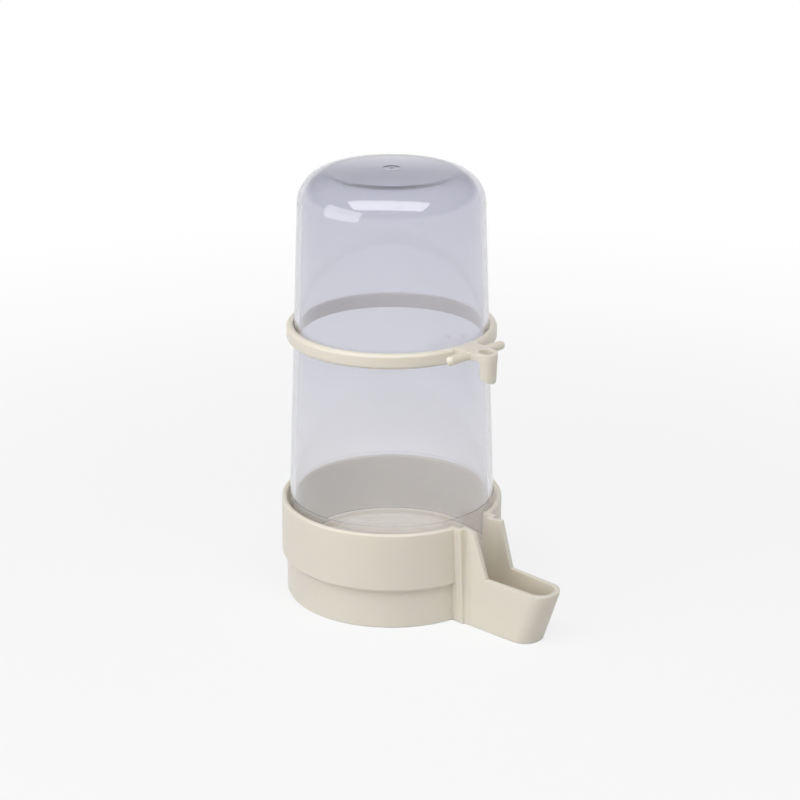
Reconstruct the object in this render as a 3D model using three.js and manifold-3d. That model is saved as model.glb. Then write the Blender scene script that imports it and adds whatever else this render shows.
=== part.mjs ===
// A hanging bird water fountain: an ivory base cup with a drinking trough, a clear reservoir
// that stands mouth down in the cup, and a ring with a wire hook that grips the reservoir's taper.
// Millimetres, +Z up. The origin is under the middle of the outline, on the plane it stands on.

import * as THREE from 'three';
import { mergeVertices } from 'three/addons/utils/BufferGeometryUtils.js';
import Module from 'manifold-3d';

// Driving dimensions

const CLEARANCE = 0.3;            // gap between pieces that seat on or in each other
const ROUND_SEGMENTS = 64;        // sides of a turned piece
const ARC_SEGMENTS = 6;           // steps of a small arc

// Base cup
const CUP_RADIUS = 32.5;
const CUP_WALL = 1.6;
const RIM_HEIGHT = 29.6;
const RIM_ROUND = 0.5;
const STEP_HEIGHT = 12.6;         // where the outside steps in to the foot
const STEP_INSET = 1.4;
const STEP_DROP = 1.4;            // height of the sloped face of the step
const FOOT_WALL = 1.6;
const FOOT_CHAMFER = 0.5;
const FLOOR_HEIGHT = 10.8;
const FLOOR_THICKNESS = 1.6;
const LEDGE_RISE = 1.4;           // the ledge that carries the reservoir's mouth, above the floor
const LEDGE_WIDTH = 2.0;
const RIDGE_COUNT = 3;            // concentric ridges on the floor
const RIDGE_INSET = 1.9;          // from the ledge to the outer ridge
const RIDGE_SPACING = 4.7;
const RIDGE_WIDTH = 1.2;
const RIDGE_HEIGHT = 0.5;

// Neck and drinking trough, along +X from the cup
const NECK_STANDOFF = 1.7;        // from the cup to the face that stops against the upright cage wires
const NECK_HALF_WIDTH = 7.95;     // at the rim
const NECK_FOOT_HALF_WIDTH = 6.4; // at the bottom
const GROOVE_HALF_WIDTH = 5.85;   // bottom of the upright grooves that take two cage wires
const GROOVE_WIDTH = 0.8;
const FLARE_HALF_WIDTH = 6.7;     // the neck walls swell out to this at the rim, past the grooves
const FLARE_LENGTH = 2.0;
const SLANT_START = 1.0;          // from the flare to where the neck walls slope down
const SLANT_RUN = 4.5;            // level length of the sloping edge, down to the trough's rim
const TROUGH_LENGTH = 20.3;       // from there to the tip
const TROUGH_HALF_WIDTH = 5.5;    // at the start of the rounded end
const TROUGH_WALL = 1.3;
const TROUGH_FLOOR = 1.6;
const TROUGH_RIM = 16.3;
const TROUGH_END_FLAT = 1.0;      // flat stretch in the middle of the rounded end
const TROUGH_LIP = 1.0;           // upright band of the end wall, below the rim
const TROUGH_LEAN = 19.5;         // degrees that the end wall leans out below that
const TROUGH_HEEL = 0.8;          // radius between the end wall and the bottom
const WELL_DEPTH = 8.0;           // how far the channel runs in under the reservoir's mouth

// Reservoir
const RESERVOIR_LENGTH = 115.6;
const RESERVOIR_WALL = 1.5;
const TAPER = 2.1;                // degrees
const SHOULDER_RADIUS = 9.4;
const CROWN_RADIUS = 250.0;       // radius of the slightly domed top
const COLLAR_PROUD = 1.6;         // how far the straight band that fits the cup stands above its rim
const COLLAR_STEP = 0.6;          // from that band in to the tapered wall
const COLLAR_CHAMFER = 0.3;
const GATE_RADIUS = 2.6;          // dimple left by the moulding gate
const GATE_DEPTH = 0.5;
const GATE_NUB_RADIUS = 0.7;
const GATE_NUB_HEIGHT = 0.4;

// Hanger ring
const RING_RISE = 65.7;           // where the ring jams on the taper, above the reservoir's mouth
const RING_HEIGHT = 4.4;
const RING_WALL = 1.8;
const RING_ROUND = 1.1;
const HOOK_TURN = -3.0;           // degrees from +X about the axis
const TAB_THICKNESS = 2.2;
const TAB_HALF_WIDTH = 3.8;
const PRONG_STANDOFF = 3.5;       // from the ring's outside to the prongs' line
const PRONG_DIAMETER = 2.6;
const PRONG_SPAN = 22.0;
const PRONG_ROUND = 0.6;
const LOOP_SPACING = 3.9;         // from the prongs' line to the centre of the hole
const LOOP_RADIUS = 3.0;
const LOOP_HOLE_RADIUS = 1.8;
const LIP_DROP = 9.0;             // from the tab's top to the lip's lowest point
const LIP_END_RADIUS = 2.7;       // outside radius at the lip's lowest point
const LIP_SLANT = 0.6;            // rise of the lip's lower edge for each mm towards the ring

// Sizes that follow from the driving ones

const CUP_BORE = CUP_RADIUS - CUP_WALL;
const FOOT_RADIUS = CUP_RADIUS - STEP_INSET;
const LEDGE_RADIUS = CUP_BORE - LEDGE_WIDTH;
const LEDGE_HEIGHT = FLOOR_HEIGHT + LEDGE_RISE;
const NECK_REACH = CUP_RADIUS + NECK_STANDOFF;
const FLARE_REACH = NECK_REACH + GROOVE_WIDTH + FLARE_LENGTH;
const SLANT_TOP = FLARE_REACH + SLANT_START;
const SLANT_FOOT = SLANT_TOP + SLANT_RUN;
const TROUGH_TIP = SLANT_FOOT + TROUGH_LENGTH;
const TROUGH_CORNER = TROUGH_HALF_WIDTH - TROUGH_END_FLAT / 2;
const TROUGH_STRAIGHT_END = TROUGH_TIP - TROUGH_CORNER;
const LEAN_SLOPE = Math.tan(THREE.MathUtils.degToRad(TROUGH_LEAN));
const LEAN_TOP = TROUGH_RIM - TROUGH_LIP;
const WELL_END = CUP_BORE - WELL_DEPTH;
const MOUTH_HEIGHT = LEDGE_HEIGHT + CLEARANCE;
const RESERVOIR_TOP = MOUTH_HEIGHT + RESERVOIR_LENGTH;
const COLLAR_RADIUS = CUP_BORE - CLEARANCE;
const COLLAR_TOP = RIM_HEIGHT + COLLAR_PROUD;
const TAPER_SLOPE = Math.tan(THREE.MathUtils.degToRad(TAPER));
const RING_BOTTOM = MOUTH_HEIGHT + RING_RISE;
const RING_TOP = RING_BOTTOM + RING_HEIGHT;
const RING_OUTER_RADIUS = wallRadius(RING_BOTTOM) + CLEARANCE + RING_WALL;
const PRONG_REACH = RING_OUTER_RADIUS + PRONG_STANDOFF;
const LOOP_REACH = PRONG_REACH + LOOP_SPACING;
const ORIGIN_SHIFT = (TROUGH_TIP - CUP_RADIUS) / 2;
const BEYOND = 5;                 // how far a cutting shape stands past what it cuts
const SAME_POINT = 1e-3;          // points closer than this are one

const wasm = await Module();
wasm.setup();

// Solids and geometry

function toSolid(geometry) {
  const bare = geometry.index ? geometry.clone() : geometry;
  bare.deleteAttribute('normal');
  bare.deleteAttribute('uv');
  const merged = mergeVertices(bare, SAME_POINT / 10);
  const index = merged.index.array;
  const triangles = [];
  for (let i = 0; i < index.length; i += 3) {
    const [a, b, c] = [index[i], index[i + 1], index[i + 2]];
    if (a !== b && b !== c && c !== a) triangles.push(a, b, c);
  }
  return new wasm.Manifold(new wasm.Mesh({
    numProp: 3,
    vertProperties: new Float32Array(merged.attributes.position.array),
    triVerts: new Uint32Array(triangles),
  }));
}

function toGeometry(solid) {
  const mesh = solid.getMesh();
  const geometry = new THREE.BufferGeometry();
  geometry.setAttribute('position', new THREE.BufferAttribute(new Float32Array(mesh.vertProperties), 3));
  geometry.setIndex(new THREE.BufferAttribute(new Uint32Array(mesh.triVerts), 1));
  return geometry;
}

// Turns an outline of [radius, height] points about Z. The points run clockwise round the section,
// with the axis on the left, so that the faces point out.
function turned(outline) {
  const points = outline.map(([radius, height]) => new THREE.Vector2(radius, height));
  return new THREE.LatheGeometry(points, ROUND_SEGMENTS).rotateX(Math.PI / 2);
}

// Extrudes a plan outline upwards between two heights.
function standing(shape, bottom, top) {
  const options = { depth: top - bottom, bevelEnabled: false, curveSegments: ARC_SEGMENTS };
  return new THREE.ExtrudeGeometry(shape, options).translate(0, 0, bottom);
}

// Extrudes an outline in X and Z to equal depths on both sides of the XZ plane.
function sideways(shape, halfWidth) {
  const options = { depth: 2 * halfWidth, bevelEnabled: false, curveSegments: ARC_SEGMENTS };
  return new THREE.ExtrudeGeometry(shape, options).rotateX(Math.PI / 2).translate(0, halfWidth, 0);
}

function polygon(points) {
  return new THREE.Shape(points.map(([x, y]) => new THREE.Vector2(x, y)));
}

function rectangle(left, right, halfWidth) {
  return polygon([[left, -halfWidth], [right, -halfWidth], [right, halfWidth], [left, halfWidth]]);
}

// Points on an arc, angles in radians from the radial direction.
function arcPoints(centreRadius, centreHeight, radius, from, to, steps) {
  const points = [];
  for (let i = 0; i <= steps; i += 1) {
    const angle = from + (to - from) * i / steps;
    points.push([centreRadius + radius * Math.cos(angle), centreHeight + radius * Math.sin(angle)]);
  }
  return points;
}

// Base cup

function floorRidges() {
  const points = [];
  for (let i = 0; i < RIDGE_COUNT; i += 1) {
    const middle = LEDGE_RADIUS - RIDGE_INSET - i * RIDGE_SPACING;
    points.push([middle + RIDGE_WIDTH / 2, FLOOR_HEIGHT]);
    points.push([middle, FLOOR_HEIGHT + RIDGE_HEIGHT]);
    points.push([middle - RIDGE_WIDTH / 2, FLOOR_HEIGHT]);
  }
  return points;
}

function cupShell() {
  const underside = FLOOR_HEIGHT - FLOOR_THICKNESS;
  return turned([
    [0, underside],
    [FOOT_RADIUS - FOOT_WALL, underside],
    [FOOT_RADIUS - FOOT_WALL, 0],
    [FOOT_RADIUS - FOOT_CHAMFER, 0],
    [FOOT_RADIUS, FOOT_CHAMFER],
    [FOOT_RADIUS, STEP_HEIGHT - STEP_DROP],
    [CUP_RADIUS, STEP_HEIGHT],
    ...arcPoints(CUP_RADIUS - RIM_ROUND, RIM_HEIGHT - RIM_ROUND, RIM_ROUND, 0, Math.PI / 2, 3),
    ...arcPoints(CUP_BORE + RIM_ROUND, RIM_HEIGHT - RIM_ROUND, RIM_ROUND, Math.PI / 2, Math.PI, 3),
    [CUP_BORE, LEDGE_HEIGHT],
    [LEDGE_RADIUS, LEDGE_HEIGHT],
    [LEDGE_RADIUS, FLOOR_HEIGHT],
    ...floorRidges(),
    [0, FLOOR_HEIGHT],
  ]);
}

// The space inside the cup, down to its ledge and floor.
function cupSpace() {
  return turned([
    [0, FLOOR_HEIGHT],
    [LEDGE_RADIUS, FLOOR_HEIGHT],
    [LEDGE_RADIUS, LEDGE_HEIGHT],
    [CUP_BORE, LEDGE_HEIGHT],
    [CUP_BORE, RIM_HEIGHT + BEYOND],
    [0, RIM_HEIGHT + BEYOND],
  ]);
}

// The neck as a block whose sides draw in towards the bottom.
function neckBlock(start, inset, bottom, top) {
  const halfWidth = NECK_HALF_WIDTH - inset;
  const draft = (NECK_HALF_WIDTH - NECK_FOOT_HALF_WIDTH) / RIM_HEIGHT;
  const block = standing(rectangle(start, NECK_REACH - inset, halfWidth), bottom, top);
  const position = block.attributes.position;
  for (let i = 0; i < position.count; i += 1) {
    const drawnIn = (RIM_HEIGHT - position.getZ(i)) * draft;
    position.setY(i, position.getY(i) * (1 - drawnIn / halfWidth));
  }
  return block;
}

// Trough outline in plan at the height of its rim, drawn in by the given inset.
function troughPlan(start, inset) {
  const halfWidth = TROUGH_HALF_WIDTH - inset;
  const corner = TROUGH_CORNER - inset;
  const shape = new THREE.Shape();
  shape.moveTo(start, inset - GROOVE_HALF_WIDTH);
  shape.lineTo(NECK_REACH + GROOVE_WIDTH, inset - GROOVE_HALF_WIDTH);
  shape.lineTo(FLARE_REACH, inset - FLARE_HALF_WIDTH);
  shape.lineTo(TROUGH_STRAIGHT_END, -halfWidth);
  shape.absarc(TROUGH_STRAIGHT_END, corner - halfWidth, corner, -Math.PI / 2, 0, false);
  shape.absarc(TROUGH_STRAIGHT_END, halfWidth - corner, corner, 0, Math.PI / 2, false);
  shape.lineTo(FLARE_REACH, FLARE_HALF_WIDTH - inset);
  shape.lineTo(NECK_REACH + GROOVE_WIDTH, GROOVE_HALF_WIDTH - inset);
  shape.lineTo(start, GROOVE_HALF_WIDTH - inset);
  return shape;
}

// Trough block between two heights: the flare fades out towards the bottom, and the rounded end
// leans in below its upright band.
function troughLayer(start, inset, bottom, top) {
  const block = standing(troughPlan(start, inset), bottom, top);
  const fade = (FLARE_HALF_WIDTH - GROOVE_HALF_WIDTH) / RIM_HEIGHT;
  const position = block.attributes.position;
  for (let i = 0; i < position.count; i += 1) {
    const [x, y, z] = [position.getX(i), position.getY(i), position.getZ(i)];
    const pastFlare = x - FLARE_REACH;
    if (Math.abs(pastFlare) < SAME_POINT) position.setY(i, y - Math.sign(y) * (RIM_HEIGHT - z) * fade);
    if (pastFlare > SAME_POINT && z < LEAN_TOP) position.setX(i, x - (LEAN_TOP - z) * LEAN_SLOPE);
  }
  return toSolid(block);
}

function troughBlock(start, inset, bottom, top) {
  return troughLayer(start, inset, bottom, LEAN_TOP).add(troughLayer(start, inset, LEAN_TOP, top));
}

// Everything above the neck's slanted edges and the trough's rim.
function aboveTrough() {
  const slope = (SLANT_FOOT - SLANT_TOP) / (RIM_HEIGHT - TROUGH_RIM);
  const top = RIM_HEIGHT + BEYOND;
  return sideways(polygon([
    [SLANT_TOP - slope * BEYOND, top],
    [SLANT_FOOT, TROUGH_RIM],
    [TROUGH_TIP + BEYOND, TROUGH_RIM],
    [TROUGH_TIP + BEYOND, top],
  ]), NECK_HALF_WIDTH + BEYOND);
}

// The corner below the end wall that the rounded heel leaves out, drawn in by the given inset.
function underHeel(inset, bottom) {
  const lean = Math.atan(LEAN_SLOPE);
  const radius = TROUGH_HEEL;
  const wallAtBottom = TROUGH_TIP - inset - (LEAN_TOP - bottom) * LEAN_SLOPE;
  const centreX = wallAtBottom + radius * LEAN_SLOPE - radius / Math.cos(lean);
  const shape = new THREE.Shape();
  shape.moveTo(centreX, bottom);
  shape.absarc(centreX, bottom + radius, radius, -Math.PI / 2, -lean, false);
  shape.lineTo(wallAtBottom + BEYOND, bottom + radius);
  shape.lineTo(wallAtBottom + BEYOND, bottom - BEYOND);
  shape.lineTo(centreX, bottom - BEYOND);
  return sideways(shape, NECK_HALF_WIDTH + BEYOND);
}

function baseCup() {
  const spout = toSolid(neckBlock(WELL_END - TROUGH_WALL, 0, 0, RIM_HEIGHT))
    .add(troughBlock(NECK_REACH - TROUGH_WALL, 0, 0, RIM_HEIGHT))
    .subtract(toSolid(underHeel(0, 0)))
    .subtract(toSolid(cupSpace()));
  const channelTop = RIM_HEIGHT + BEYOND;
  const trough = troughBlock(NECK_REACH - 2 * TROUGH_WALL, TROUGH_WALL, TROUGH_FLOOR, channelTop)
    .subtract(toSolid(underHeel(TROUGH_WALL, TROUGH_FLOOR)));
  const channel = toSolid(neckBlock(WELL_END, TROUGH_WALL, TROUGH_FLOOR, channelTop)).add(trough);
  return toSolid(cupShell())
    .add(spout)
    .subtract(channel)
    .subtract(toSolid(aboveTrough()));
}

// Reservoir

// Radius of the reservoir's tapered outside at a height.
function wallRadius(height) {
  return COLLAR_RADIUS - COLLAR_STEP - (height - COLLAR_TOP) * TAPER_SLOPE;
}

// Shoulder centre: its arc touches both the tapered wall and the domed top.
function shoulderCentre() {
  const crownCentre = RESERVOIR_TOP - CROWN_RADIUS;
  const reach = CROWN_RADIUS - SHOULDER_RADIUS;
  const offset = SHOULDER_RADIUS * Math.hypot(1, TAPER_SLOPE);
  const atCrownCentre = wallRadius(crownCentre) - offset;
  const a = 1 + TAPER_SLOPE ** 2;
  const b = -2 * atCrownCentre * TAPER_SLOPE;
  const c = atCrownCentre ** 2 - reach ** 2;
  const rise = (-b + Math.sqrt(b * b - 4 * a * c)) / (2 * a);
  return { radius: atCrownCentre - rise * TAPER_SLOPE, height: crownCentre + rise, crownCentre };
}

// Shoulder and dome from the wall up to the edge of the gate, drawn in by the given inset.
function topCurve(inset, innerRadius) {
  const centre = shoulderCentre();
  const wallAngle = Math.atan(TAPER_SLOPE);
  const crownAngle = Math.atan2(centre.height - centre.crownCentre, centre.radius);
  const crown = CROWN_RADIUS - inset;
  const gateAngle = Math.acos(innerRadius / crown);
  return [
    ...arcPoints(centre.radius, centre.height, SHOULDER_RADIUS - inset, wallAngle, crownAngle, 10),
    ...arcPoints(0, centre.crownCentre, crown, crownAngle, gateAngle, 4).slice(1),
  ];
}

function reservoir() {
  const wallInset = RESERVOIR_WALL * Math.hypot(1, TAPER_SLOPE);
  const gateFloor = RESERVOIR_TOP - GATE_DEPTH;
  const bossRadius = GATE_RADIUS + RESERVOIR_WALL;
  return toSolid(turned([
    [0, gateFloor - RESERVOIR_WALL],
    [bossRadius - GATE_DEPTH / 2, gateFloor - RESERVOIR_WALL],
    ...topCurve(RESERVOIR_WALL, bossRadius).reverse(),
    [wallRadius(MOUTH_HEIGHT) - wallInset, MOUTH_HEIGHT],
    [COLLAR_RADIUS - COLLAR_CHAMFER, MOUTH_HEIGHT],
    [COLLAR_RADIUS, MOUTH_HEIGHT + COLLAR_CHAMFER],
    [COLLAR_RADIUS, COLLAR_TOP - COLLAR_CHAMFER],
    [wallRadius(COLLAR_TOP), COLLAR_TOP],
    ...topCurve(0, GATE_RADIUS),
    [GATE_RADIUS - GATE_DEPTH / 2, gateFloor],
    [GATE_NUB_RADIUS, gateFloor],
    [GATE_NUB_RADIUS / 2, gateFloor + GATE_NUB_HEIGHT],
    [0, gateFloor + GATE_NUB_HEIGHT],
  ]));
}

// Hanger ring

function ringBand() {
  const inner = (height) => wallRadius(height) + CLEARANCE;
  const outer = RING_OUTER_RADIUS;
  return turned([
    [inner(RING_BOTTOM), RING_BOTTOM],
    ...arcPoints(outer - RING_ROUND, RING_BOTTOM + RING_ROUND, RING_ROUND, -Math.PI / 2, 0, 4),
    ...arcPoints(outer - RING_ROUND, RING_TOP - RING_ROUND, RING_ROUND, 0, Math.PI / 2, 4),
    [inner(RING_TOP), RING_TOP],
    [inner(RING_BOTTOM), RING_BOTTOM],
  ]);
}

// The flat tab, from inside the band out to the round end with the hole.
function tabPlan() {
  const root = RING_OUTER_RADIUS - RING_WALL / 2;
  const shape = new THREE.Shape();
  shape.moveTo(root, -TAB_HALF_WIDTH);
  shape.lineTo(PRONG_REACH, -TAB_HALF_WIDTH);
  shape.lineTo(LOOP_REACH, -LOOP_RADIUS);
  shape.absarc(LOOP_REACH, 0, LOOP_RADIUS, -Math.PI / 2, Math.PI / 2, false);
  shape.lineTo(PRONG_REACH, TAB_HALF_WIDTH);
  shape.lineTo(root, TAB_HALF_WIDTH);
  return shape;
}

// The lip below the tab: the outer half of a slightly tapered tube round the hole.
function lipCone() {
  const cone = new THREE.CylinderGeometry(LOOP_RADIUS, LIP_END_RADIUS, LIP_DROP, 4 * ARC_SEGMENTS);
  return cone.rotateX(Math.PI / 2).translate(LOOP_REACH, 0, RING_TOP - LIP_DROP / 2);
}

// What the open inner side of the lip leaves out, below the tab.
function behindLip() {
  const top = RING_TOP - TAB_THICKNESS;
  return standing(rectangle(LOOP_REACH - BEYOND, LOOP_REACH, LOOP_RADIUS + BEYOND), top - LIP_DROP, top);
}

// What the lip's slanted lower edge leaves out.
function underLip() {
  const low = RING_TOP - LIP_DROP;
  const far = LOOP_REACH + LOOP_RADIUS + BEYOND;
  const near = LOOP_REACH - BEYOND;
  const end = LOOP_REACH + LOOP_RADIUS;
  return sideways(polygon([
    [near, low + (end - near) * LIP_SLANT],
    [near, low - BEYOND],
    [far, low - BEYOND],
    [far, low + (end - far) * LIP_SLANT],
  ]), LOOP_RADIUS + BEYOND);
}

function prongBar() {
  const radius = PRONG_DIAMETER / 2;
  const half = PRONG_SPAN / 2;
  const points = [
    [0, -half],
    ...arcPoints(radius - PRONG_ROUND, PRONG_ROUND - half, PRONG_ROUND, -Math.PI / 2, 0, 3),
    ...arcPoints(radius - PRONG_ROUND, half - PRONG_ROUND, PRONG_ROUND, 0, Math.PI / 2, 3),
    [0, half],
  ].map(([across, along]) => new THREE.Vector2(across, along));
  return new THREE.LatheGeometry(points, 16).translate(PRONG_REACH, 0, RING_TOP - radius);
}

function loopHole() {
  const hole = new THREE.CylinderGeometry(LOOP_HOLE_RADIUS, LOOP_HOLE_RADIUS, 2 * LIP_DROP, 4 * ARC_SEGMENTS);
  return hole.rotateX(Math.PI / 2).translate(LOOP_REACH, 0, RING_TOP - LIP_DROP / 2);
}

function hangerRing() {
  const lip = toSolid(lipCone())
    .subtract(toSolid(behindLip()))
    .subtract(toSolid(underLip()));
  const hook = toSolid(standing(tabPlan(), RING_TOP - TAB_THICKNESS, RING_TOP))
    .add(lip)
    .subtract(toSolid(loopHole()))
    .add(toSolid(prongBar()));
  return toSolid(ringBand()).add(hook);
}

// Materials and the assembled fountain

const ivoryPlastic = new THREE.MeshStandardMaterial({ color: 0xe6e1d3, roughness: 0.45, metalness: 0 });
const clearPlastic = new THREE.MeshStandardMaterial({
  color: 0xd4d6de, roughness: 0.08, metalness: 0, transparent: true, opacity: 0.35,
});

function piece(name, solid, material) {
  const mesh = new THREE.Mesh(toGeometry(solid), material);
  mesh.name = name;
  return mesh;
}

const ring = piece('hanger_ring', hangerRing(), ivoryPlastic.clone());
ring.rotation.z = THREE.MathUtils.degToRad(HOOK_TURN);

const fountain = new THREE.Group();
fountain.name = 'bird_water_fountain';
fountain.add(piece('base_cup', baseCup(), ivoryPlastic));
fountain.add(piece('reservoir', reservoir(), clearPlastic));
fountain.add(ring);
fountain.position.x = -ORIGIN_SHIFT;

export default fountain;
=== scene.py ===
"""Looks of a hanging bird water fountain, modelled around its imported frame."""

import math

import bmesh
import bpy
from mathutils import Matrix, Vector


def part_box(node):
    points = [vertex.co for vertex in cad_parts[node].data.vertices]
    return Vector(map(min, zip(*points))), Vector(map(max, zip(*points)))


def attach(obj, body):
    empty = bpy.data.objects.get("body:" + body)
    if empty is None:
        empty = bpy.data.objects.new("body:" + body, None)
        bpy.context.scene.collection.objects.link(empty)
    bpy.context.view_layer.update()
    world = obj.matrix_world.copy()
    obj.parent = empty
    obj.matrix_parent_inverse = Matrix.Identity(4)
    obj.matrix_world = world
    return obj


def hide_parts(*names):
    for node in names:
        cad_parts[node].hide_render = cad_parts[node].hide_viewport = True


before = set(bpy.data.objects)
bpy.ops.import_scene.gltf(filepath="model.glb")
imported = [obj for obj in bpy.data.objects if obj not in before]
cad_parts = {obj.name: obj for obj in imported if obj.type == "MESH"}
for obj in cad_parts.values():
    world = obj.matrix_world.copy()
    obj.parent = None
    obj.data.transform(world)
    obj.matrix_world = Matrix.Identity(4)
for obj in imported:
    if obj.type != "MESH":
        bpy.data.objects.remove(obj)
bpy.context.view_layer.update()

bl_info = {
    "name": "Bird Water Fountain",
    "version": (1, 0, 0),
    "blender": (4, 5, 0),
    "location": "View3D > Sidebar > Fountain",
    "description": "Models and dresses a hanging bird water fountain around its packed frame",
    "category": "Add Mesh",
}

MM = 0.001
CUP_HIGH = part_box("base_cup")[1]
BOTTLE_LOW, BOTTLE_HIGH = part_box("reservoir")
RING_LOW, RING_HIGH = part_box("hanger_ring")
AXIS = Vector(((BOTTLE_LOW.x + BOTTLE_HIGH.x) / 2, (BOTTLE_LOW.y + BOTTLE_HIGH.y) / 2, 0.0))
COLLAR_SLACK = 0.45 * MM         # how much narrower the reservoir's collar is drawn, as a fine line

SPIN_STEPS = 192                 # sides of a turned piece
ARC_STEP = 0.25 * MM             # length of one side on a rounded corner
ARC_SIDES = (3, 28)              # fewest and most sides on a rounded corner
SAME_POINT = 1e-6                # points closer than this, in metres, are one
BEYOND = 5 * MM                  # how far a cutting shape stands past what it cuts
SHARP_ANGLE = math.radians(32)   # edges that turn more than this are shaded as edges
CONVEX_ANGLE = math.radians(30)  # outer edges that turn more than this are rounded
FACING_UP = 0.2                  # a face looks up if its normal rises by more than this
ROUND_END = 0.999                # share of a half width that rounds an end and keeps its arcs apart
CROWN_STEPS = 4                  # steps along the reservoir's domed top
LIP_SIDES = 64                   # sides of the tube that the hook's lip is cut from
PRONG_SIDES = 48                 # sides of the prongs
CANOPY_SIDES = (48, 24)          # sides of the canopy, round it and up it

# Widths of the patterns' marks, in millimetres
CLOUD_WIDTH = 22                 # clouds where the ivory melt flowed
GRAIN_WIDTH = 0.7                # mould grain: about 0.1 on the real one, drawn coarser so that it shows
FLOW_WIDTH = 9                   # waver along the flow of the clear melt
RUB_WIDTH = 14                   # rubs from handling
FIBRE_WIDTH = 2.0                # paper fibres: finer on real paper, drawn coarser so that they show

# Soft boxes: metres from the point that the camera looks at, as the camera sees it
SOFTBOXES = {
    "overhead_softbox": {
        "towards": 0.32, "left": 0.03, "up": 0.58, "size": (1.0, 0.36), "radiance": 3.4},
    "left_softbox": {
        "towards": 0.43, "left": 0.87, "up": 0.2, "size": (0.89, 0.74), "radiance": 1.98},
}


# Sizes and colours that a user can change

def linear(hex_colour):
    """Turns an sRGB hex value such as #E7E2D4 into linear red, green and blue."""
    values = [int(hex_colour[i:i + 2], 16) / 255 for i in (1, 3, 5)]
    return tuple(v / 12.92 if v <= 0.04045 else ((v + 0.055) / 1.055) ** 2.4 for v in values)


def length(name, description, default):
    """A size in metres."""
    return bpy.props.FloatProperty(
        name=name, description=description, default=default, min=0.0, unit="LENGTH", precision=5)


def turn(name, description, degrees):
    """An angle."""
    return bpy.props.FloatProperty(
        name=name, description=description, default=math.radians(degrees), unit="ROTATION",
        subtype="ANGLE")


def colour(name, description, hex_colour):
    """A colour, held as linear red, green and blue."""
    return bpy.props.FloatVectorProperty(
        name=name, description=description, default=linear(hex_colour), size=3, min=0.0, max=1.0,
        subtype="COLOR")


class CupSizes(bpy.types.PropertyGroup):
    """Sizes of the round part of the base."""
    radius: length("Radius", "Outside radius of the cup", CUP_HIGH.y)
    wall: length("Wall", "Thickness of the cup's wall", 1.6 * MM)
    rim_height: length("Rim height", "Height of the cup's rim", CUP_HIGH.z)
    rim_round: length("Rim round", "Rounding of the cup's rim", 0.7 * MM)
    step_height: length("Step height", "Where the outside steps in to the foot", 12.6 * MM)
    step_inset: length("Step inset", "How far the foot is set in", 1.4 * MM)
    step_drop: length("Step drop", "Height of the sloped face of the step", 1.4 * MM)
    step_round: length("Step round", "Rounding of the step's edges", 0.25 * MM)
    foot_wall: length("Foot wall", "Thickness of the foot's wall", 1.6 * MM)
    foot_round: length("Foot round", "Rounding of the foot's lower edge", 0.6 * MM)
    floor_height: length("Floor height", "Height of the cup's floor", 10.8 * MM)
    floor_thickness: length("Floor thickness", "Thickness of the cup's floor", 1.6 * MM)
    ledge_rise: length("Ledge rise", "Height of the reservoir's ledge above the floor", 1.4 * MM)
    ledge_width: length("Ledge width", "Width of that ledge", 2.0 * MM)
    ledge_round: length("Ledge round", "Rounding of the ledge's edges", 0.35 * MM)
    ridge_count: bpy.props.IntProperty(
        name="Ridges", description="Concentric ridges on the floor", default=3, min=0)
    ridge_inset: length("Ridge inset", "From the ledge to the outer ridge", 1.9 * MM)
    ridge_spacing: length("Ridge spacing", "From ridge to ridge", 4.7 * MM)
    ridge_width: length("Ridge width", "Width of a ridge", 1.2 * MM)
    ridge_height: length("Ridge height", "Height of a ridge", 0.5 * MM)
    ridge_round: length("Ridge round", "Rounding of a ridge", 0.2 * MM)


class SpoutSizes(bpy.types.PropertyGroup):
    """Sizes of the neck and the drinking trough, measured from the cup's axis."""
    neck_standoff: length("Neck standoff", "From the cup to the neck's outer face", 1.7 * MM)
    neck_half: length("Neck half width", "Half the neck's width at the rim", 7.95 * MM)
    neck_foot_half: length("Neck foot half width", "Half the neck's width at the bottom", 6.4 * MM)
    groove_half: length("Groove half width", "Half the width between the wire grooves", 5.85 * MM)
    groove_width: length("Groove width", "Width of a wire groove", 0.8 * MM)
    groove_fillet: length("Groove fillet", "Fillet in the bottom of a wire groove", 0.7 * MM)
    flare_half: length("Flare half width", "Half the width where the walls swell, at the rim", 6.7 * MM)
    flare_length: length("Flare length", "From the groove to the widest point", 2.0 * MM)
    flare_round: length("Flare round", "Rounding of the walls at the widest point", 1.6 * MM)
    slant_start: length("Slant start", "From the widest point to the sloping edge", 1.0 * MM)
    slant_run: length("Slant run", "Level length of the sloping edge", 4.5 * MM)
    tip: length("Tip", "From the cup's axis to the trough's tip", CUP_HIGH.x - AXIS.x)
    end_half: length("End half width", "Half the trough's width at its tip", 5.2 * MM)
    end_round: length("End round", "Rounding of the trough's end in plan", 5.0 * MM)
    wall: length("Wall", "Thickness of the walls", 1.3 * MM)
    floor: length("Floor", "Thickness of the floor", 1.6 * MM)
    rim_height: length("Trough rim", "Height of the trough's rim", 16.3 * MM)
    lip: length("Lip", "Upright band of the end wall below the rim", 1.0 * MM)
    lean: turn("Lean", "Lean of the end wall", 19.5)
    well_depth: length("Well depth", "How far the channel runs in under the reservoir", 8.0 * MM)
    rim_round: length("Rim round", "Rounding of the rim", 0.42 * MM)
    edge_round: length("Edge round", "Rounding of the other edges", 0.22 * MM)
    heel_round: length("Heel round", "Rounding along the trough's bottom", 0.7 * MM)
    inside_round: length("Inside round", "Rounding along the channel's floor", 0.8 * MM)


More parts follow.
